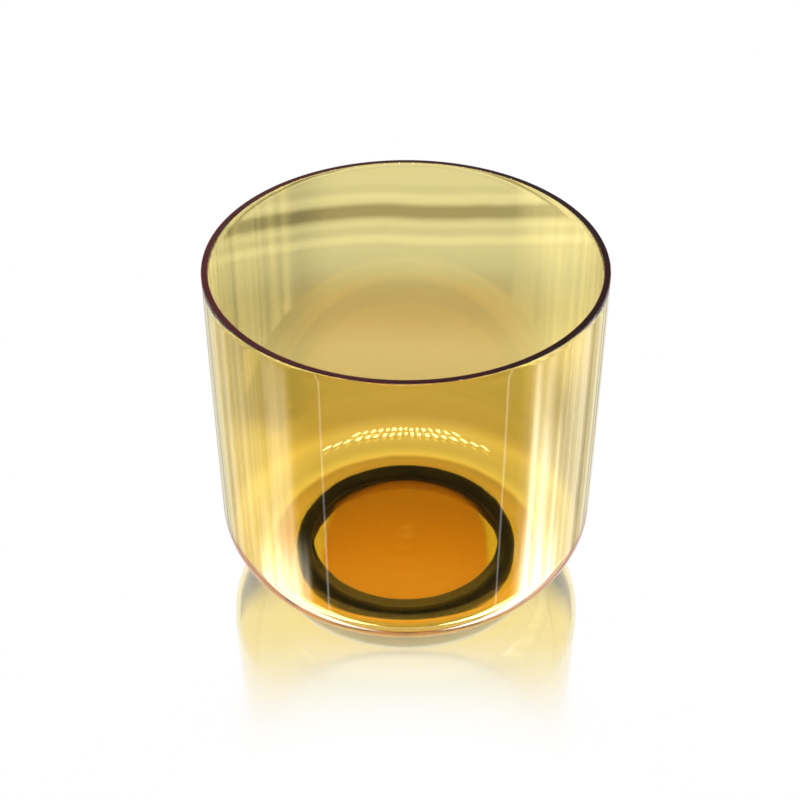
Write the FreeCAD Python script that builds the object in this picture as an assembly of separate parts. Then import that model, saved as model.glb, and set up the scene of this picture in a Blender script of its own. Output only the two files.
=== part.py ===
"""A clear amber quartz singing bowl standing on its rubber O-ring.

The origin is on the bowl's axis, in the plane that the ring rests on, and +Z points up
through the mouth. All sizes are in millimetres. The bowl is a straight-sided vessel with
a rounded heel and a flat base, and the ring is a loose piece that it simply sits on.
"""
import FreeCAD, Part
import math
import os

# Bowl, outside
RIM_RADIUS = 101.6          # an 8 inch bowl, measured over the rim
BELLY_RADIUS = 102.6        # widest place, where the wall meets the heel
BOWL_HEIGHT = 190.0         # from the underside of the base to the rim
HEEL_BROAD_RADIUS = 45.7    # the part of the heel that rises from the flat base
HEEL_TIGHT_RADIUS = 30.5    # the part of the heel that turns into the wall
HEEL_CHANGE_ANGLE = math.radians(30.0)   # slope of the normal where the two radii meet

# Bowl, glass thickness and edges
WALL_THICKNESS = 3.4
BASE_THICKNESS = 5.0
RIM_BEVEL = 0.5             # ground arris on both edges of the rim
NUB_RADIUS = 4.0            # low dome left on the floor where the tube was closed
NUB_HEIGHT = 0.6

# O-ring
RING_SECTION_RADIUS = 4.2
RING_CENTRE_RADIUS = 59.2   # bowl's axis to the middle of the rubber section
RING_FLAT_HALF_WIDTH = 1.0  # strip pressed flat by the bowl's weight, above and below

# Worked out from the sizes above
RING_HALF_HEIGHT = math.sqrt(RING_SECTION_RADIUS**2 - RING_FLAT_HALF_WIDTH**2)
RING_HEIGHT = 2.0 * RING_HALF_HEIGHT


def point(radius, height):
    """A point of a section drawn in the XZ plane."""
    return FreeCAD.Vector(radius, 0.0, height)


def arc(centre, radius, start_angle, end_angle):
    """An arc of a section, with its angles measured from +X towards +Z."""
    angles = (start_angle, 0.5 * (start_angle + end_angle), end_angle)
    places = [
        centre + point(radius * math.cos(angle), radius * math.sin(angle))
        for angle in angles
    ]
    return Part.Arc(*places).toShape()


def end_points(edge):
    return edge.valueAt(edge.FirstParameter), edge.valueAt(edge.LastParameter)


def revolve(edges):
    """Turn a closed section about the Z axis into one solid."""
    face = Part.Face(Part.Wire(Part.__sortEdges__(edges)))
    return face.revolve(FreeCAD.Vector(0, 0, 0), FreeCAD.Vector(0, 0, 1), 360.0)


def skin(belly_radius, rim_radius, floor_height, broad, tight, top_height):
    """Edges of one side of the glass, from the flat of the base up to top_height.

    Two tangent arcs make the heel, and one very long arc makes the wall, which leans in
    slightly from the belly to the rim.
    """
    broad_centre = point(
        belly_radius - tight - (broad - tight) * math.cos(HEEL_CHANGE_ANGLE),
        floor_height + broad,
    )
    tight_centre = broad_centre + point(
        (broad - tight) * math.cos(HEEL_CHANGE_ANGLE),
        -(broad - tight) * math.sin(HEEL_CHANGE_ANGLE),
    )
    wall_rise = BOWL_HEIGHT - tight_centre.z
    lean = belly_radius - rim_radius
    wall_radius = (wall_rise**2 + lean**2) / (2.0 * lean)
    wall_centre = point(belly_radius - wall_radius, tight_centre.z)
    wall_angle = math.asin((top_height - tight_centre.z) / wall_radius)
    return [
        arc(broad_centre, broad, -0.5 * math.pi, -HEEL_CHANGE_ANGLE),
        arc(tight_centre, tight, -HEEL_CHANGE_ANGLE, 0.0),
        arc(wall_centre, wall_radius, 0.0, wall_angle),
    ]


def rim(outer_top, inner_top):
    """The flat polished rim with a small bevel on each edge."""
    outer_corner = point(outer_top.x - RIM_BEVEL, BOWL_HEIGHT)
    inner_corner = point(inner_top.x + RIM_BEVEL, BOWL_HEIGHT)
    return [
        Part.makeLine(outer_top, outer_corner),
        Part.makeLine(outer_corner, inner_corner),
        Part.makeLine(inner_corner, inner_top),
    ]


def floor_with_nub(floor_edge):
    """The flat inside floor and, in its middle, the low round nub."""
    dome_radius = (NUB_RADIUS**2 + NUB_HEIGHT**2) / (2.0 * NUB_HEIGHT)
    dome_centre = point(0.0, BASE_THICKNESS + NUB_HEIGHT - dome_radius)
    dome_angle = math.acos(NUB_RADIUS / dome_radius)
    return [
        Part.makeLine(point(NUB_RADIUS, BASE_THICKNESS), floor_edge),
        arc(dome_centre, dome_radius, dome_angle, 0.5 * math.pi),
    ]


def make_bowl():
    bevel_start = BOWL_HEIGHT - RIM_BEVEL
    outside = skin(
        BELLY_RADIUS,
        RIM_RADIUS,
        0.0,
        HEEL_BROAD_RADIUS,
        HEEL_TIGHT_RADIUS,
        bevel_start,
    )
    inside = skin(
        BELLY_RADIUS - WALL_THICKNESS,
        RIM_RADIUS - WALL_THICKNESS,
        BASE_THICKNESS,
        HEEL_BROAD_RADIUS - 0.5 * (WALL_THICKNESS + BASE_THICKNESS),
        HEEL_TIGHT_RADIUS - WALL_THICKNESS,
        bevel_start,
    )
    base_edge = end_points(outside[0])[0]
    floor_edge = end_points(inside[0])[0]
    section = outside + inside
    section += rim(end_points(outside[-1])[1], end_points(inside[-1])[1])
    section += floor_with_nub(floor_edge)
    section += [
        Part.makeLine(point(0.0, 0.0), base_edge),
        Part.makeLine(point(0.0, 0.0), point(0.0, BASE_THICKNESS + NUB_HEIGHT)),
    ]
    bowl = revolve(section)
    bowl.translate(FreeCAD.Vector(0, 0, RING_HEIGHT))
    return bowl


def make_o_ring():
    centre = point(RING_CENTRE_RADIUS, RING_HALF_HEIGHT)
    flat_angle = math.acos(RING_FLAT_HALF_WIDTH / RING_SECTION_RADIUS)
    outer_side = arc(centre, RING_SECTION_RADIUS, -flat_angle, flat_angle)
    inner_side = arc(
        centre, RING_SECTION_RADIUS, math.pi - flat_angle, math.pi + flat_angle
    )
    outer_bottom, outer_top = end_points(outer_side)
    inner_top, inner_bottom = end_points(inner_side)
    top_flat = Part.makeLine(outer_top, inner_top)
    bottom_flat = Part.makeLine(inner_bottom, outer_bottom)
    return revolve([outer_side, top_flat, inner_side, bottom_flat])


NODES = {
    "quartz_bowl": make_bowl,
    "rubber_o_ring": make_o_ring,
}

os.makedirs("parts", exist_ok=True)
for node, make in NODES.items():
    make().exportStep(f"parts/{node}.step")
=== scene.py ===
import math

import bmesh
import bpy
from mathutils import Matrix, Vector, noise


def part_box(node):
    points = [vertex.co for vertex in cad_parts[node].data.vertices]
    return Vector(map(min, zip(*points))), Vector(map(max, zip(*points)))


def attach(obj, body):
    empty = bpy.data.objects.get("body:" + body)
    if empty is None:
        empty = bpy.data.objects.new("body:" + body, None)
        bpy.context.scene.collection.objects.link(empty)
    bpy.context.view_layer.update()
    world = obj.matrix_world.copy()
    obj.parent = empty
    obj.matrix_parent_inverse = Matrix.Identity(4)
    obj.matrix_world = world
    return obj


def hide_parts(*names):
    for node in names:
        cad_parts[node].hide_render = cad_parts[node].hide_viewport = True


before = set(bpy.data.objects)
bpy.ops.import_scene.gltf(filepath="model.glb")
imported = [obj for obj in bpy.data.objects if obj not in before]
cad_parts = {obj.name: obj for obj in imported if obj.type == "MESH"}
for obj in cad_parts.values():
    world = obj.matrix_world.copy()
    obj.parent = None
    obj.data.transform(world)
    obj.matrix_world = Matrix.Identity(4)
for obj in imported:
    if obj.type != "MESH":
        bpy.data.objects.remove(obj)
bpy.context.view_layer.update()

# A clear amber quartz singing bowl on its rubber O-ring, standing on glossy white acrylic.
# Lengths are in metres. The bowl and the ring are turned from the same sections as the CAD
# solids, then given the small unevenness that spun quartz and moulded rubber have.

MM = 0.001
BOWL_LOW, BOWL_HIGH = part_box("quartz_bowl")
RING_LOW, RING_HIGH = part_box("rubber_o_ring")
WHITE = (1, 1, 1, 1)

# Bowl
BELLY_RADIUS = BOWL_HIGH.x
RIM_RADIUS = BELLY_RADIUS - 1.0 * MM
BASE_Z = BOWL_LOW.z
RIM_Z = BOWL_HIGH.z
WALL = 3.4 * MM
BASE = 5.0 * MM
HEEL_BROAD = 45.7 * MM      # radius of the heel where it leaves the base
HEEL_TIGHT = 30.5 * MM      # radius of the heel where it meets the wall
HEEL_CHANGE = math.radians(30)
RIM_ROUND = 0.55 * MM
BOWL_SEGMENTS = 320
FLAT_STEPS, BROAD_STEPS, TIGHT_STEPS, WALL_STEPS = 60, 30, 12, 34
ROUND_STEPS, RIM_STEPS = 5, 6
ON_AXIS = 1e-7              # a smaller radius than this counts as a point on the axis
RIM_FACING = 0.9            # faces of the flat rim look up at least this much
RIM_LAYER = 0.02 * MM       # and lie within this of the top

# Draw waves in the glass: how close they lie round the bowl and up it, then their weight.
# They grow to their full height over a distance above the floor and below the rim.
WAVES = ((5, 0.8, 1.0), (14, 1.2, 0.5))
WAVE_HEIGHT = 0.035 * MM
WAVES_ABOVE_FLOOR = 20 * MM
WAVES_BELOW_RIM = 6 * MM
INNER_SEED = 20.0

# Nub and faint rings on the inside of the floor, where the tube was closed
NUB_HEIGHT, NUB_SPREAD = 0.6 * MM, 3.2 * MM
RIPPLE_HEIGHT, RIPPLE_LENGTH, RIPPLE_REACH = 0.03 * MM, 1.7 * MM, 16 * MM
FLOOR_LAYER = 0.5 * MM      # points of the inner side this close to its lowest are floor

# Ring
RING_SECTION = 4.2 * MM
RING_CENTRE = RING_HIGH.x - RING_SECTION
RING_INNER = RING_CENTRE - RING_SECTION
RING_FLASH = 0.16 * MM      # moulding line round the inside and the outside
CONTACT_GAP = 0.03 * MM
RING_SEGMENTS = 288
SECTION_STEPS = 56

# Materials
QUARTZ_IOR = 1.46
QUARTZ_TINT = (0.965, 0.85, 0.40, 1)
QUARTZ_SIGMA = (2, 6, 30)   # absorption of red, green and blue per metre
DRAW_RELIEF = 0.008 * MM
RUBBER_RELIEF = 0.08 * MM
# Colour of the rim's painted glow, seen only in reflections.
RIM_PAINTED_GLOW = (1.0, 0.78, 0.36, 1)

# Table. Seen directly, it takes real light and shadow only inside SHADOW_RADIUS and is evenly
# white outside it, so the bowl's shadow ends at a painted edge, which softens as the bowl is
# lifted. RING_SHADOW is how far back the ring's painted shadow lies.
FLOOR_Z = RING_LOW.z - CONTACT_GAP
FLOOR_SIZE = 6.0
FLOOR_SEGMENTS = 96
SHADOW_RADIUS = 0.079
SHADOW_EDGE = 0.002
SHADOW_SPREAD = 0.6
RING_SHADOW = 0.0115
RING_SHADOW_EDGE = 0.0006
# Darkness and cooler colour of the ring's painted shadow.
RING_SHADOW_DEPTH = 0.89
RING_SHADOW_COOLING = -0.45
TABLE_GREY = 0.41           # seen directly, in the bowl's shadow
TABLE_GREY_THROUGH = 0.97   # seen through the glass, before any shade
FAR_SHADE = 0.57            # all the shade that is left far from the bowl
WARM_DIRECT = 0.28          # share of the amber light that shows when seen directly
ORANGE_POWER = 1.3
GREEN_LOSS, BLUE_LOSS = 0.55, 0.99
DISC_STRETCH = -0.16        # makes the disc under the bowl longer from front to back

# Smooth steps on the table: where each starts and ends, then its value at the start and at
# the end. The first two go by height on the bowl and the third across the edge of the bowl's
# shadow. REAR, BENEATH and WARM_FRONT go by Y, and WARM_SIDES by distance to either side.
# The others go by distance from the axis.
MIRROR_FADE = (-0.06, 0.05, 0.82, 0.0)
MIRROR_BLUR = (-0.05, 0.02, 0.03, 0.14)
MIRROR_SHADOWED = (-1.0, 1.0, 0.15, 1.0)
MIRROR_DISC = (0.0445, 0.0500, 0.12, 0.90)
MIRROR_OUTER = (0.063, 0.070, 0.0, 0.86)
NEARBY = (0.50, 1.00, 1.0, 0.0)
RING_SHADOW_END = (0.060, 0.062, 1.0, 0.0)
REAR = (-0.080, -0.030, 0.0, 1.0)
BENEATH = (-0.030, 0.055, 0.0, 0.36)
BENEATH_EDGE = (SHADOW_RADIUS - 0.002, SHADOW_RADIUS + 0.002, 1.0, 0.0)
WARM_FRONT = (-0.030, 0.030, 0.20, 0.0)
WARM_SIDES = (0.060, 0.110, 1.0, 0.45)

# Painted shade of the table seen through the glass, as steps up with distance from the axis:
# start, end and height. Then a ring: inner and outer edge, softness and depth.
SHADE_STEPS = ((0.068, 0.088, 0.30), (0.095, 0.125, 0.36))
SHADE_RING = (0.086, 0.104, 0.006, 0.18)

# Painted shade at the sides of the table: left and right edge and softness in X, then near
# and far place in Y and the shade at each.
SIDE_SHADES = (
    ((-0.170, -0.075, 0.025), (0.090, 0.130, -0.18, 0.08)),
    ((0.105, 0.170, 0.015), (0.120, 0.200, 0.16, -0.08)),
)

# Painted amber light on the table by distance from the axis: start, end, and amount at each.
# Then a band behind the bowl and two rings: inner and outer edge, softness and amount.
WARM_STEPS = (
    (0.060, 0.068, 1.0, 0.58),
    (SHADOW_RADIUS - 0.004, SHADOW_RADIUS + 0.004, 0.0, -0.36),
    (0.082, 0.120, 0.0, 0.20),
    (0.260, 0.310, 0.0, -0.40),
)
WARM_BAND = (0.370, 0.390, 0.005, 0.22)
WARM_RING = (0.150, 0.215, 0.02, -0.10)
WARM_FRONT_RING = (0.062, SHADOW_RADIUS, 0.003)

# Painted shade and light in bands on the table behind the bowl, seen only through the glass:
# near and far edge and softness of each band, and how much darker it is (less than 0 is
# lighter).
TABLE_BANDS = (
    (0.220, 0.300, 0.030, 0.070),
    (0.332, 0.344, 0.004, -0.070),
    (0.356, 0.364, 0.003, -0.040),
    (0.370, 0.390, 0.005, 0.140),
    (0.394, 0.407, 0.004, -0.040),
    (0.410, 0.422, 0.006, 0.030),
    (0.400, 0.600, 0.010, -0.030),
)
BAND_BEND = 1.3
BAND_WAVER = 0.012

# Studio light painted on the table, seen only in reflections: azimuth from the front towards
# the right, and elevation, both in degrees, then strength and how soft the sides and the ends
# are.
PANELS = (
    (79, 89, 37, 85, 3.4, 3, 4),
    (74, 108, 44, 85, 3.6, 4, 2),
    (84, 104, 39, 85, 1.6, 4, 1.5),
    (74, 128, 20, 85, 1.5, 6, 8),
    (-86, -70, 36, 85, 1.0, 4, 3),
    (-98, -84, 42, 85, 1.5, 3, 2),
    (-104, -64, 44.5, 85, 4.0, 4, 1.5),
    (-128, -74, 10, 85, 0.8, 6, 8),
    (-180, -128, 0, 60, 0.75, 10, 10),
    (128, 180, 0, 60, 0.75, 10, 10),
)
STUDIO_DARK = 0.02          # the front of the studio, between the panels
STUDIO_LOW = (12.0, 25.0, 0.9, 0.0)     # near the horizon every side is white
STREAKS = (0.30, 0.70, 0.60, 1.40)      # uneven brightness of the panels from side to side

# Thin upright lines of light painted on the table, that the outside of the glass reflects,
# laid out in the same way.
LINES = (
    (-50.0, -48.8, 25, 80, 2.6, 0.4, 3),
    (58.0, 59.2, 25, 80, 2.6, 0.4, 3),
)

# Strips of small lamps overhead: distance of the middle of each strip behind the zenith
# (less than 0 is in front) and half its length, as slopes, then the spacing of its lamps.
LAMP_STRIPS = (
    (-0.19, 0.68, 0.042),
    (-0.36, 0.46, 0.042),
)
LAMP_STRENGTH = 50.0
LAMP_ROW, LAMP_ROW_SOFT = 0.045, 0.010
LAMP_END_SOFT = 0.01
LAMP_BOW = 0.45
LAMP_SIZE, LAMP_SOFT = 0.22, 0.08       # as shares of the spacing
LAMP_DEEP = (2.0, 3.0, 1.0, 0.15)       # what is left of a lamp deeper in the glass
LOWEST_LAMP = 0.01          # directions nearer the horizon than this count as this high
TABLE_LIGHT = 2.5           # light that falls on the table, against the white that is seen

# The dark wall behind: ranges of azimuth and elevation in degrees and of the number of
# faces of glass that the light has passed, each with its softness, then how dark it is.
VEIL_AZIMUTH = (130, 190, 10)
VEIL_ELEVATION = (30, 45.0, 1.2)
VEIL_FACES = (2.5, 6.5, 0.1)
VEIL = 0.97
TINY = 1e-6                 # keeps a division clear of zero

# Camera
CAMERA_ELEVATION = math.radians(38.73)
CAMERA_DISTANCE = 7.5 * RIM_RADIUS
CAMERA_SENSOR = 36.0
CAMERA_LENS = 63.495
CAMERA_SHIFT = (-0.007375, 0.010125)
BOUNCES = 48


def arc_points(centre, radius, start, end, count):
    """Points (r, z) on an arc, angles from +r towards +z, first point left out."""
    step = (end - start) / count
    return [
        (
            centre[0] + radius * math.cos(start + step * i),
            centre[1] + radius * math.sin(start + step * i),
        )
        for i in range(1, count + 1)
    ]


def line_points(start, end, count):
    """Points on a straight stretch, first point left out."""
    return [
        (
            start[0] + (end[0] - start[0]) * i / count,
            start[1] + (end[1] - start[1]) * i / count,
        )
        for i in range(1, count + 1)
    ]


def skin_points(belly, rim, floor, broad, tight, top):
    """One side of the glass, from the axis over the flat and the heel up to top."""
    across = math.cos(HEEL_CHANGE) * (broad - tight)
    drop = math.sin(HEEL_CHANGE) * (broad - tight)
    flat = belly - tight - across
    broad_centre = (flat, floor + broad)
    tight_centre = (flat + across, floor + broad - drop)
    rise = RIM_Z - tight_centre[1]
    wall_radius = (rise**2 + (belly - rim) ** 2) / (2 * (belly - rim))
    wall_centre = (belly - wall_radius, tight_centre[1])
    wall_angle = math.asin((top - tight_centre[1]) / wall_radius)
    points = [(0.0, floor)]
    points += line_points(points[0], (flat, floor), FLAT_STEPS)
    points += arc_points(broad_centre, broad, -math.pi / 2, -HEEL_CHANGE, BROAD_STEPS)
    points += arc_points(tight_centre, tight, -HEEL_CHANGE, 0, TIGHT_STEPS)
    points += arc_points(wall_centre, wall_radius, 0, wall_angle, WALL_STEPS)
    return points


def bowl_section():
    """The section from the axis out, up, over the rim and back down inside to the axis.

    Also gives the place in it where the inner side starts.
    """
    top = RIM_Z - RIM_ROUND
    outside = skin_points(BELLY_RADIUS, RIM_RADIUS, BASE_Z, HEEL_BROAD, HEEL_TIGHT, top)
    inside = skin_points(
        BELLY_RADIUS - WALL,
        RIM_RADIUS - WALL,
        BASE_Z + BASE,
        HEEL_BROAD - (WALL + BASE) / 2,
        HEEL_TIGHT - WALL,
        top,
    )
    outer_round = (outside[-1][0] - RIM_ROUND, top)
    inner_round = (inside[-1][0] + RIM_ROUND, top)
    over = arc_points(outer_round, RIM_ROUND, 0, math.pi / 2, ROUND_STEPS)
    over += line_points(over[-1], (inner_round[0], RIM_Z), RIM_STEPS)
    over += arc_points(inner_round, RIM_ROUND, math.pi / 2, math.pi, ROUND_STEPS)[:-1]
    return outside + over + inside[::-1], len(outside) + len(over)


def spin(name, section, segments, offset):
    """Turn a section that starts and ends on the axis into a closed mesh object."""
    mesh = bmesh.new()
    loops = []
    for index, (radius, height) in enumerate(section):
        if radius < ON_AXIS:
            loops.append([mesh.verts.new(offset(index, 0.0, height, 0.0))])
            continue
        loops.append(
            [
                mesh.verts.new(offset(index, radius, height, math.tau * k / segments))
                for k in range(segments)
            ]
        )
    for lower, upper in zip(loops, loops[1:]):
        for k in range(segments):
            after = (k + 1) % segments
            corners = [lower[0]] if len(lower) == 1 else [lower[k], lower[after]]
            corners += [upper[0]] if len(upper) == 1 else [upper[after], upper[k]]
            mesh.faces.new(corners)
    return finish_mesh(name, mesh)


def spin_ring(name, section, segments):
    """Turn a closed section that stays clear of the axis into a ring."""
    mesh = bmesh.new()
    loops = [
        [
            mesh.verts.new((r * math.cos(a), r * math.sin(a), z))
            for a in (math.tau * k / segments for k in range(segments))
        ]
        for r, z in section
    ]
    for lower, upper in zip(loops, loops[1:] + loops[:1]):
        for k in range(segments):
            after = (k + 1) % segments
            mesh.faces.new([lower[k], lower[after], upper[after], upper[k]])
    return finish_mesh(name, mesh)


def finish_mesh(name, mesh):
    """Make a smooth-shaded object of a mesh."""
    bmesh.ops.recalc_face_normals(mesh, faces=mesh.faces[:])
    data = bpy.data.meshes.new(name)
    mesh.to_mesh(data)
    mesh.free()
    data.polygons.foreach_set("use_smooth", [True] * len(data.polygons))
    thing = bpy.data.objects.new(name, data)
    bpy.context.scene.collection.objects.link(thing)
    return thing


def wave(place, up, seed):
    """How far the draw waves push the wall out here, as a share of their height."""
    return sum(
        weight
        * noise.noise(Vector((place.x * around, place.y * around, up * upwards + seed)))
        for around, upwards, weight in WAVES
    )


def floor_ripple(radius):
    """Height of the nub and the rings round it above the inside of the floor."""
    nub = NUB_HEIGHT * math.exp(-((radius / NUB_SPREAD) ** 2))
    rings = math.cos(radius / RIPPLE_LENGTH) * math.exp(-radius / RIPPLE_REACH)
    return nub + RIPPLE_HEIGHT * rings


def make_bowl():
    section, inner_start = bowl_section()
    flat = BASE_Z + BASE

    def offset(index, radius, height, angle):
        inner = index >= inner_start
        place = Vector((math.cos(angle), math.sin(angle), 0.0))
        up = (height - BASE_Z) / (RIM_Z - BASE_Z)
        share = min(1.0, max(0.0, (height - flat) / WAVES_ABOVE_FLOOR))
        share *= min(1.0, (RIM_Z - height) / WAVES_BELOW_RIM)
        out = WAVE_HEIGHT * wave(place, up, INNER_SEED if inner else 0.0) * share
        on_floor = inner and height < flat + FLOOR_LAYER
        ripple = floor_ripple(radius) if on_floor else 0.0
        return place * (radius + out) + Vector((0, 0, height + ripple))

    bowl = spin("amber_quartz_bowl", section, BOWL_SEGMENTS, offset)
    for material in (quartz_material(), rim_material()):
        bowl.data.materials.append(material)
    for face in bowl.data.polygons:
        if face.normal.z > RIM_FACING and face.center.z > RIM_Z - RIM_LAYER:
            face.material_index = 1
    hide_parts("quartz_bowl")
    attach(bowl, "bowl")
    return bowl


def ring_section():
    """The round section, flat above and below, with a moulding line on each side."""
    middle = (RING_LOW.z + RING_HIGH.z) / 2
    half = (RING_HIGH.z - RING_LOW.z) / 2 - CONTACT_GAP
    points = []
    for i in range(SECTION_STEPS):
        angle = math.tau * i / SECTION_STEPS
        flash = RING_FLASH if i % (SECTION_STEPS // 2) == 0 else 0.0
        r = (RING_SECTION + flash) * math.cos(angle)
        z = max(-half, min(half, RING_SECTION * math.sin(angle)))
        points.append((RING_CENTRE + r, middle + z))
    return points


def make_ring():
    ring = spin_ring("rubber_support_ring", ring_section(), RING_SEGMENTS)
    ring.data.materials.append(rubber_material())
    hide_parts("rubber_o_ring")
    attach(ring, "ring")


class Nodes:
    """A node tree with short calls for arithmetic on sockets and plain numbers."""

    def __init__(self, tree):
        self.nodes = tree.nodes
        self.links = tree.links

    def add(self, kind, **inputs):
        node = self.nodes.new(kind)
        for name, value in inputs.items():
            self.put(node.inputs[name.replace("_", " ")], value)
        return node

    def put(self, socket, value):
        if isinstance(value, bpy.types.NodeSocket):
            self.links.new(value, socket)
        else:
            socket.default_value = value

    def math(self, operation, first, second=0.0):
        node = self.nodes.new("ShaderNodeMath")
        node.operation = operation
        self.put(node.inputs[0], first)
        self.put(node.inputs[1], second)
        return node.outputs[0]

    def vector(self, operation, first, second=None):
        """A vector operation; its result is a number where the operation gives one."""
        node = self.nodes.new("ShaderNodeVectorMath")
        node.operation = operation
        self.put(node.inputs[0], first)
        if second is not None:
            self.put(node.inputs[1], second)
        number = operation in ("LENGTH", "DISTANCE")
        return node.outputs["Value" if number else "Vector"]

    def split(self, vector):
        return self.add("ShaderNodeSeparateXYZ", Vector=vector).outputs

    def total(self, *values):
        result = values[0]
        for value in values[1:]:
            result = self.math("ADD", result, value)
        return result

    def product(self, *values):
        result = values[0]
        for value in values[1:]:
            result = self.math("MULTIPLY", result, value)
        return result

    def less(self, first, second):
        """The first value less the second."""
        return self.math("SUBTRACT", first, second)

    def above(self, value, limit):
        """1 where the value is above the limit, otherwise 0."""
        return self.math("GREATER_THAN", value, limit)

    def ramp(self, value, low, high, start=0.0, end=1.0):
        """A smooth step from start at low to end at high."""
        node = self.nodes.new("ShaderNodeMapRange")
        node.interpolation_type = "SMOOTHSTEP"
        self.put(node.inputs["Value"], value)
        node.inputs["From Min"].default_value = low
        node.inputs["From Max"].default_value = high
        node.inputs["To Min"].default_value = start
        node.inputs["To Max"].default_value = end
        return node.outputs["Result"]

    def window(self, value, low, high, soft, height=None):
        """1 (or height) between low and high, falling smoothly to 0 over soft each way."""
        rise = self.ramp(value, low - soft, low + soft)
        fall = self.ramp(value, high - soft, high + soft, 1.0, 0.0)
        both = self.product(rise, fall)
        return both if height is None else self.product(both, height)

    def noise(self, place, scale, detail):
        """Noise in three dimensions at a place."""
        node = self.add("ShaderNodeTexNoise", Vector=place, Scale=scale, Detail=detail)
        return node.outputs[0]

    def noise_along(self, value, scale, detail):
        """Noise in one dimension."""
        node = self.add("ShaderNodeTexNoise", Scale=scale, Detail=detail)
        node.noise_dimensions = "1D"
        self.put(node.inputs["W"], value)
        return node.outputs[0]

    def mix(self, factor, first, second):
        node = self.nodes.new("ShaderNodeMixShader")
        self.put(node.inputs["Fac"], factor)
        self.links.new(first, node.inputs[1])
        self.links.new(second, node.inputs[2])
        return node.outputs[0]


def new_material(name):
    material = bpy.data.materials.new(name)
    material.use_nodes = True
    material.node_tree.nodes.clear()
    tree = Nodes(material.node_tree)
    return material, tree, tree.add("ShaderNodeOutputMaterial")


def object_place(tree):
    return tree.add("ShaderNodeTexCoord").outputs["Object"]


def quartz_material():
    """Clear amber glass with faint upright draw lines and a few smudges from handling."""
    material, tree, output = new_material("amber_quartz")
    spot = object_place(tree)
    upright = tree.vector("MULTIPLY", spot, (1.0, 1.0, 0.04))
    relief = tree.add(
        "ShaderNodeBump",
        Height=tree.noise(upright, 260.0, 2.0),
        Strength=1.0,
        Distance=DRAW_RELIEF,
    )
    glass = tree.add(
        "ShaderNodeBsdfPrincipled",
        Base_Color=QUARTZ_TINT,
        Transmission_Weight=1.0,
        IOR=QUARTZ_IOR,
        Roughness=tree.ramp(tree.noise(spot, 30.0, 4.0), 0.60, 0.75, 0.0, 0.03),
        Normal=relief.outputs[0],
    )
    density = max(QUARTZ_SIGMA)
    absorb = tree.add(
        "ShaderNodeVolumeAbsorption",
        Color=[1 - part / density for part in QUARTZ_SIGMA] + [1],
        Density=density,
    )
    tree.put(output.inputs["Surface"], glass.outputs["BSDF"])
    tree.put(output.inputs["Volume"], absorb.outputs["Volume"])
    return material


def rim_material():
    """The polished edge, painted the dark red of light piped up through the wall, with a
    painted glow.
    """
    material, tree, output = new_material("polished_rim")
    path = tree.add("ShaderNodeLightPath").outputs
    inside = tree.above(path["Glossy Depth"], 0.5)
    spot = object_place(tree)
    mottle = tree.noise(spot, 45.0, 3.0)
    # Painted light: dark red, redder on the left side and mottled at random.
    level = tree.total(
        tree.ramp(tree.split(spot)["X"], -RIM_RADIUS, RIM_RADIUS, 0.026, 0.002),
        tree.product(mottle, 0.012),
    )
    red = tree.add(
        "ShaderNodeCombineColor",
        Red=level,
        Green=tree.product(level, 0.18),
        Blue=tree.product(level, 0.18),
    )
    edge = tree.add(
        "ShaderNodeBsdfPrincipled",
        Base_Color=red.outputs[0],
        Roughness=tree.ramp(mottle, 0.3, 0.7, 0.10, 0.22),
        IOR=QUARTZ_IOR,
        Specular_IOR_Level=0.06,
        # Painted glow where a reflection shows the rim, though it is no lamp.
        Emission_Color=RIM_PAINTED_GLOW,
        Emission_Strength=tree.product(inside, 0.9),
    )
    tree.put(output.inputs["Surface"], edge.outputs["BSDF"])
    return material


def rubber_material():
    """Moulded black rubber: fine grain, and patches rubbed smoother than the rest."""
    material, tree, output = new_material("black_rubber")
    spot = object_place(tree)
    worn = tree.noise(spot, 70.0, 3.0)
    relief = tree.add(
        "ShaderNodeBump",
        Height=tree.noise(spot, 1600.0, 4.0),
        Strength=0.6,
        Distance=RUBBER_RELIEF,
    )
    level = tree.ramp(worn, 0.30, 0.70, 0.006, 0.013)
    shade = tree.add(
        "ShaderNodeCombineColor",
        Red=level,
        Green=tree.product(level, 0.75),
        Blue=tree.product(level, 0.60),
    )
    rubber = tree.add(
        "ShaderNodeBsdfPrincipled",
        Base_Color=shade.outputs[0],
        Roughness=tree.ramp(worn, 0.30, 0.70, 0.55, 0.38),
        Specular_IOR_Level=0.2,
        Normal=relief.outputs[0],
    )
    tree.put(output.inputs["Surface"], rubber.outputs["BSDF"])
    return material


def patches(tree, azimuth, elevation, rows):
    """Soft-edged patches of light given by ranges of azimuth and elevation."""
    return tree.total(
        *(
            tree.product(
                tree.window(azimuth, left, right, side),
                tree.window(elevation, low, high, end),
                strength,
            )
            for left, right, low, high, strength, side, end in rows
        )
    )


def studio_pattern(tree, azimuth, elevation, outside):
    """How bright the painted studio is in each direction, as the glass reflects it."""
    streaks = tree.ramp(tree.noise_along(azimuth, 0.17, 1.5), *STREAKS)
    panels = tree.product(patches(tree, azimuth, elevation, PANELS), streaks)
    lines = tree.product(patches(tree, azimuth, elevation, LINES), outside)
    low = tree.ramp(elevation, *STUDIO_LOW)
    return tree.math("MAXIMUM", tree.total(panels, lines, STUDIO_DARK), low)


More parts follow.
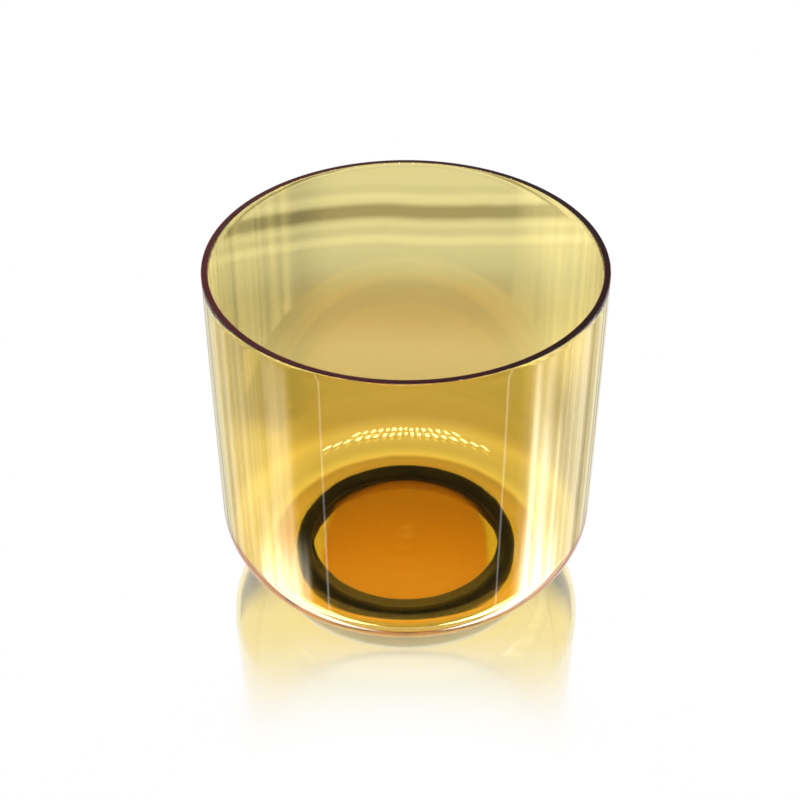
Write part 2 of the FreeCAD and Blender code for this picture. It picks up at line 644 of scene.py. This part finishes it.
class Table:
    """What the shader of the table knows about the spot it shades and the ray to it."""

    def __init__(self, tree, bowl):
        geometry = tree.add("ShaderNodeNewGeometry").outputs
        path = tree.add("ShaderNodeLightPath").outputs
        place = tree.split(geometry["Position"])
        toward = tree.split(geometry["Incoming"])
        self.tree = tree
        self.x, self.y = place["X"], place["Y"]
        self.toward = toward
        self.radius = tree.vector("LENGTH", geometry["Position"])
        self.reflected = tree.above(path["Glossy Depth"], 0.5)
        self.through = tree.above(path["Transmission Depth"], 0.5)
        self.outside = tree.less(1.0, self.through)
        self.height = self.mirrored_height()
        self.beyond = self.beyond_shadow(bowl)
        self.ring_shadow = self.inner_shadow(geometry["Position"])
        # Far off the table turns as white as the wall.
        self.nearby = tree.ramp(self.radius, *NEARBY)
        self.band_place = self.bent_bands()

    def mirrored_height(self):
        """How high on the bowl the mirrored ray meets it.

        That is the distance from here to the bowl along the line of sight, times the slope
        of that line.
        """
        tree, toward = self.tree, self.toward
        level = tree.total(
            tree.product(toward["X"], toward["X"]),
            tree.product(toward["Y"], toward["Y"]),
        )
        level = tree.math("SQRT", tree.math("MAXIMUM", level, TINY))
        along = tree.total(
            tree.product(self.x, toward["X"]),
            tree.product(self.y, toward["Y"]),
        )
        along = tree.less(tree.math("DIVIDE", along, level), BELLY_RADIUS)
        return tree.product(along, tree.math("DIVIDE", toward["Z"], level))

    def beyond_shadow(self, bowl):
        """How far out of the bowl's shadow, whose painted soft edge lies between -1 and 1.

        The edge grows as the bowl is lifted, which makes the table sink in its frame.
        """
        tree = self.tree
        own_frame = tree.add("ShaderNodeTexCoord")
        own_frame.object = bowl
        sunk = tree.split(own_frame.outputs["Object"])["Z"]
        lift = tree.math("MAXIMUM", tree.less(FLOOR_Z, sunk), 0.0)
        edge = tree.total(SHADOW_EDGE, tree.product(lift, SHADOW_SPREAD))
        return tree.math("DIVIDE", tree.less(self.radius, SHADOW_RADIUS), edge)

    def inner_shadow(self, position):
        """1 where a shadow of the near side of the ring is painted inwards, away from the
        lamps.
        """
        tree = self.tree
        moved = tree.vector("DISTANCE", position, (0.0, RING_SHADOW, FLOOR_Z))
        return tree.product(
            tree.ramp(moved, RING_INNER - RING_SHADOW_EDGE, RING_INNER + RING_SHADOW_EDGE),
            tree.ramp(self.radius, *RING_SHADOW_END),
        )

    def bent_bands(self):
        """Place in Y, bent on the left and wavering a little, that the bands follow."""
        tree = self.tree
        left_bend = tree.math("POWER", tree.math("MINIMUM", self.x, 0.0), 2.0)
        waver = tree.less(tree.noise_along(self.x, 9.0, 2.0), 0.5)
        return tree.total(
            self.y,
            tree.product(left_bend, BAND_BEND),
            tree.product(waver, BAND_WAVER),
        )

    def mirror_share(self):
        """How much of the table's look is its mirror image of the bowl.

        Seen directly the image fades with height. Under the bowl it shows close to the
        ring, and outside the ring the table in the bowl's shadow shows hardly any.
        """
        tree = self.tree
        seen = tree.product(
            tree.ramp(self.height, *MIRROR_FADE),
            tree.ramp(self.beyond, *MIRROR_SHADOWED),
        )
        stretch = tree.product(tree.math("ABSOLUTE", self.y), DISC_STRETCH)
        disc = tree.total(self.radius, stretch)
        under = tree.product(
            tree.less(
                tree.ramp(disc, *MIRROR_DISC),
                tree.ramp(self.radius, *MIRROR_OUTER),
            ),
            tree.less(1.0, self.ring_shadow),
        )
        return tree.total(
            tree.product(seen, self.outside),
            tree.product(under, self.through),
        )

    def grey(self):
        """Brightness: through the glass, with painted shade and soft painted bands far behind
        the bowl.
        """
        tree = self.tree
        rear = tree.ramp(self.y, *REAR)
        sides = [
            tree.product(tree.window(self.x, *edges), tree.ramp(self.y, *shades), rear)
            for edges, shades in SIDE_SHADES
        ]
        steps = [
            tree.ramp(self.radius, start, end, 0.0, height)
            for start, end, height in SHADE_STEPS
        ]
        bands = [tree.window(self.band_place, *band) for band in TABLE_BANDS]
        beneath = tree.product(
            tree.ramp(self.y, *BENEATH), tree.ramp(self.radius, *BENEATH_EDGE)
        )
        ring = tree.window(self.radius, *SHADE_RING)
        shade = tree.total(*steps, ring, *sides, *bands, beneath)
        shade = tree.total(
            tree.product(tree.less(shade, FAR_SHADE), self.nearby),
            FAR_SHADE,
            tree.product(self.ring_shadow, RING_SHADOW_DEPTH),
        )
        plain = tree.total(
            TABLE_GREY,
            tree.product(self.through, TABLE_GREY_THROUGH - TABLE_GREY),
        )
        return tree.less(plain, tree.product(shade, self.through))

    def warmth(self):
        """How much the table is warmed by painted amber light, standing for what the bowl
        lets through.
        """
        tree = self.tree
        front = tree.product(
            tree.ramp(self.y, *WARM_FRONT), tree.window(self.radius, *WARM_FRONT_RING)
        )
        warm = tree.total(
            *(tree.ramp(self.radius, *step) for step in WARM_STEPS),
            front,
            tree.window(self.band_place, *WARM_BAND),
            tree.window(self.radius, *WARM_RING),
            tree.product(self.ring_shadow, RING_SHADOW_COOLING),
        )
        return tree.product(
            warm,
            self.nearby,
            tree.ramp(tree.math("ABSOLUTE", self.x), *WARM_SIDES),
            tree.ramp(self.through, 0.0, 1.0, WARM_DIRECT, 1.0),
        )

    def tint(self):
        """Colour of the table, greyed by painted shade and warmed by painted amber light."""
        tree = self.tree
        grey, warm = self.grey(), self.warmth()
        orange = tree.math("POWER", warm, ORANGE_POWER)
        tint = tree.add(
            "ShaderNodeCombineColor",
            Red=grey,
            Green=tree.product(grey, tree.less(1.0, tree.product(orange, GREEN_LOSS))),
            Blue=tree.product(grey, tree.less(1.0, tree.product(warm, BLUE_LOSS))),
        )
        return tint.outputs[0]

    def studio(self):
        """Seen in a reflection, the table glows with a painted studio: its dark front and
        light panels.
        """
        tree, toward = self.tree, self.toward
        azimuth = tree.math("ARCTAN2", tree.product(toward["X"], -1.0), toward["Y"])
        azimuth = tree.math("DEGREES", azimuth)
        elevation = tree.math("DEGREES", tree.math("ARCSINE", toward["Z"]))
        pattern = studio_pattern(tree, azimuth, elevation, self.outside)
        return tree.add("ShaderNodeEmission", Strength=pattern).outputs[0]


def floor_material(bowl):
    """White acrylic whose mirror image of the bowl is clear at its foot and fades upwards."""
    # The table carries painted shade, painted amber light and, in reflections, painted studio
    # light.
    material, tree, output = new_material("white_acrylic")
    table = Table(tree, bowl)
    white = tree.add("ShaderNodeBsdfDiffuse", Color=table.tint())
    lit = tree.add("ShaderNodeEmission", Strength=1.0)
    # Seen directly, the table is evenly white beyond the painted edge of the bowl's shadow.
    away = tree.product(tree.ramp(table.beyond, -1.0, 1.0), table.outside)
    plain = tree.mix(away, white.outputs[0], lit.outputs[0])
    blur = tree.ramp(table.height, *MIRROR_BLUR)
    mirror = tree.add("ShaderNodeBsdfGlossy", Roughness=blur, Color=WHITE)
    surface = tree.mix(table.mirror_share(), plain, mirror.outputs[0])
    # Painted studio light on the table where a reflection meets it beyond the bowl.
    studio_in_reflection = tree.product(table.reflected, tree.above(table.radius, BELLY_RADIUS))
    tree.put(output.inputs["Surface"], tree.mix(studio_in_reflection, surface, table.studio()))
    return material


def make_floor(bowl):
    mesh = bmesh.new()
    bmesh.ops.create_circle(
        mesh, cap_ends=True, segments=FLOOR_SEGMENTS, radius=FLOOR_SIZE
    )
    floor = finish_mesh("floor", mesh)
    floor.location.z = FLOOR_Z
    floor.data.materials.append(floor_material(bowl))


def lamp_strip(tree, across, ahead, slope, half_length, spacing):
    """Round dots in a row, as a mask on directions given by their slopes.

    The lamps stand further apart towards the ends of the strip.
    """
    bow = tree.product(across, across, LAMP_BOW)
    row = tree.window(
        tree.less(ahead, bow), slope - LAMP_ROW, slope + LAMP_ROW, LAMP_ROW_SOFT
    )
    ends = tree.window(across, -half_length, half_length, LAMP_END_SOFT)
    stretch = tree.total(1.0, tree.math("ABSOLUTE", across))
    cycle = tree.math("PINGPONG", tree.math("DIVIDE", across, stretch), spacing / 2)
    edge, soft = spacing * LAMP_SIZE, spacing * LAMP_SOFT
    dot = tree.ramp(cycle, edge - soft, edge + soft, 1.0, 0.0)
    return tree.product(row, ends, dot)


def lamp_light(tree, toward, path, clean):
    """The lamps, seen only in the first reflection, and less in those deep in the glass."""
    up = tree.math("MAXIMUM", toward["Z"], LOWEST_LAMP)
    across = tree.math("DIVIDE", toward["X"], up)
    ahead = tree.math("DIVIDE", toward["Y"], up)
    return tree.product(
        tree.total(*(lamp_strip(tree, across, ahead, *strip) for strip in LAMP_STRIPS)),
        tree.above(path["Glossy Depth"], 0.5),
        tree.math("LESS_THAN", path["Glossy Depth"], 1.5),
        tree.ramp(path["Transmission Depth"], *LAMP_DEEP),
        clean,
        LAMP_STRENGTH,
    )


def wall_veil(tree, toward, path):
    """The wall behind is dark where the base reflects it, seen through the glass."""
    azimuth = tree.math("ARCTAN2", toward["X"], tree.product(toward["Y"], -1.0))
    azimuth = tree.math("ABSOLUTE", tree.math("DEGREES", azimuth))
    elevation = tree.math("DEGREES", tree.math("ARCSINE", toward["Z"]))
    return tree.product(
        tree.window(azimuth, *VEIL_AZIMUTH),
        tree.window(elevation, *VEIL_ELEVATION),
        tree.window(path["Transmission Depth"], *VEIL_FACES),
        tree.above(path["Glossy Depth"], 0.5),
        VEIL,
    )


def make_world():
    """White all round for the camera, with lamps and a dark wall in reflections."""
    world = bpy.data.worlds.new("studio")
    bpy.context.scene.world = world
    world.use_nodes = True
    world.node_tree.nodes.clear()
    tree = Nodes(world.node_tree)
    output = tree.add("ShaderNodeOutputWorld")
    toward = tree.split(tree.add("ShaderNodeTexCoord").outputs["Generated"])
    path = tree.add("ShaderNodeLightPath").outputs
    # Light that falls on the table is stronger than the white that the camera sees.
    scattered = tree.above(path["Diffuse Depth"], 0.5)
    level = tree.total(1.0, tree.product(scattered, TABLE_LIGHT - 1.0))
    open_sky = tree.less(1.0, wall_veil(tree, toward, path))
    lamps = lamp_light(tree, toward, path, tree.less(1.0, scattered))
    strength = tree.total(tree.product(open_sky, level), lamps)
    background = tree.add("ShaderNodeBackground", Color=WHITE, Strength=strength)
    tree.put(output.inputs["Surface"], background.outputs[0])
    world.cycles.sampling_method = "NONE"


def make_camera():
    """A short telephoto view, looking down into the mouth from in front."""
    camera = bpy.data.cameras.new("camera")
    camera.sensor_width = CAMERA_SENSOR
    camera.lens = CAMERA_LENS
    camera.shift_x, camera.shift_y = CAMERA_SHIFT
    thing = bpy.data.objects.new("camera", camera)
    bpy.context.scene.collection.objects.link(thing)
    target = Vector((0, 0, (BASE_Z + RIM_Z) / 2))
    back = Vector((0, -math.cos(CAMERA_ELEVATION), math.sin(CAMERA_ELEVATION)))
    thing.location = target + back * CAMERA_DISTANCE
    thing.rotation_mode = "QUATERNION"
    thing.rotation_quaternion = (-back).to_track_quat("-Z", "Y")
    bpy.context.scene.camera = thing


def set_scene():
    """Keep white as it is, light alive through many faces of glass, and lamps bright."""
    scene = bpy.context.scene
    scene.view_settings.view_transform = "Standard"
    scene.cycles.sample_clamp_indirect = 0.0
    scene.cycles.max_bounces = BOUNCES
    scene.cycles.transmission_bounces = BOUNCES
    scene.cycles.glossy_bounces = BOUNCES


bowl = make_bowl()
make_ring()
make_floor(bowl)
make_world()
make_camera()
set_scene()
